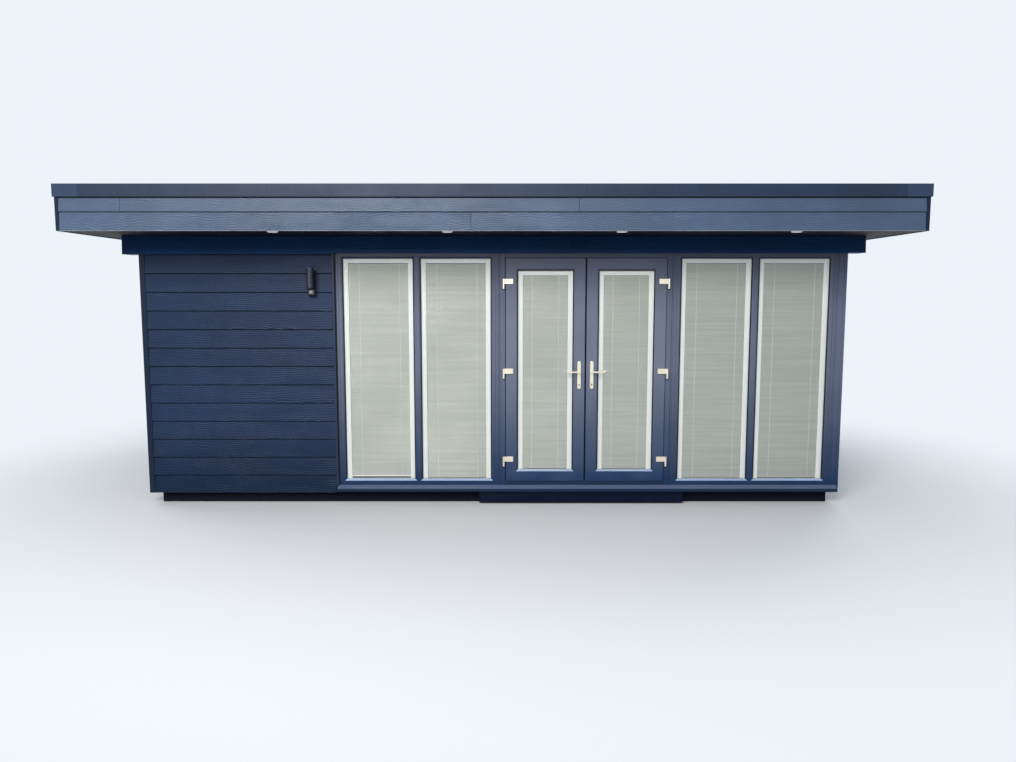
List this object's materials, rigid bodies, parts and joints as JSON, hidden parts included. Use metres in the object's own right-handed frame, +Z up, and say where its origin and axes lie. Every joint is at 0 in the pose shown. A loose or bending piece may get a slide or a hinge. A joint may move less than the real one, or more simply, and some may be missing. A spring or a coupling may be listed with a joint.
{
  "type": "garden office pod",
  "caption": "Flat-roofed garden office clad in lapped boards, with a glazed front, outward French doors, fitted blinds and a deep roof overhang.",
  "frame": {"origin": "on the ground, under the middle of the roof's outline", "axes": "+X to the right along the front, +Z up, and the glazed front faces -Y"},
  "size_m": [6.878, 4.142, 2.7],
  "materials": {
    "ground_timber": "dark treated timber",
    "floor_board": "matt board",
    "wall_lining": "matt painted lining",
    "cladding": "embossed grain, factory painted dark blue-grey",
    "trim_metal": "satin",
    "edge_metal": "satin",
    "roof_timber": "sawn",
    "membrane": "matt",
    "soffit_board": "matt",
    "frame_foil": "foiled, satin",
    "glass": "clear double glazing",
    "blind": "satin white",
    "hardware": "pale polished",
    "lamp_white": "gloss",
    "lamp_metal": "satin"
  },
  "bodies": {
    "building": {"base_frame": "ground_timber", "floor_deck": "floor_board", "front_wall": "wall_lining", "back_wall": "wall_lining", "left_wall": "wall_lining", "right_wall": "wall_lining", "header_beam": "wall_lining", "corner_post": "frame_foil", "front_cladding": "cladding", "header_cladding": "cladding", "side_cladding": "cladding", "back_cladding": "cladding", "corner_trims": "trim_metal", "roof_panel": "roof_timber", "roof_kerb": "roof_timber", "roof_membrane": "membrane", "ceiling_board": "wall_lining", "soffit": "soffit_board", "front_fascia": "cladding", "back_fascia": "cladding", "side_fascias": "cladding", "fascia_corners": "trim_metal", "roof_edge": "edge_metal", "roof_edge_corners": "edge_metal", "downlights": "lamp_white", "wall_light": "lamp_metal", "sill": "frame_foil", "left_window_frame": "frame_foil", "left_window_glass": "glass", "left_window_blinds": "blind", "right_window_frame": "frame_foil", "right_window_glass": "glass", "right_window_blinds": "blind", "left_door_jamb": "frame_foil", "right_door_jamb": "frame_foil", "door_head": "frame_foil", "door_threshold": "frame_foil", "step_board": "cladding", "left_frame_hinges": "hardware", "right_frame_hinges": "hardware"},
    "left_leaf": {"left_door_sash": "frame_foil", "left_door_glass": "glass", "left_door_blind": "blind", "left_sash_hinges": "hardware", "left_handle_plates": "hardware"},
    "right_leaf": {"right_door_sash": "frame_foil", "right_door_glass": "glass", "right_door_blind": "blind", "right_sash_hinges": "hardware", "right_handle_plates": "hardware"},
    "left_lever": {"left_door_lever": "hardware"},
    "right_lever": {"right_door_lever": "hardware"}
  },
  "joints": [
    {"name": "left_door_swing", "type": "hinge", "parent": "building", "child": "left_leaf", "pos_m": [0.083, -1.506, 1.1745], "axis": [0, 0, -1], "range_deg": [0, 95]},
    {"name": "right_door_swing", "type": "hinge", "parent": "building", "child": "right_leaf", "pos_m": [1.505, -1.506, 1.1745], "axis": [0, 0, 1], "range_deg": [0, 95]},
    {"name": "left_lever_turn", "type": "hinge", "parent": "left_leaf", "child": "left_lever", "pos_m": [0.739, -1.498, 1.17], "axis": [0, -1, 0], "range_deg": [0, 40], "stiffness_Nm_per_rad": 1.5, "springref_deg": -28.65},
    {"name": "right_lever_turn", "type": "hinge", "parent": "right_leaf", "child": "right_lever", "pos_m": [0.849, -1.498, 1.17], "axis": [0, 1, 0], "range_deg": [0, 40], "stiffness_Nm_per_rad": 1.5, "springref_deg": -28.65}
  ]
}
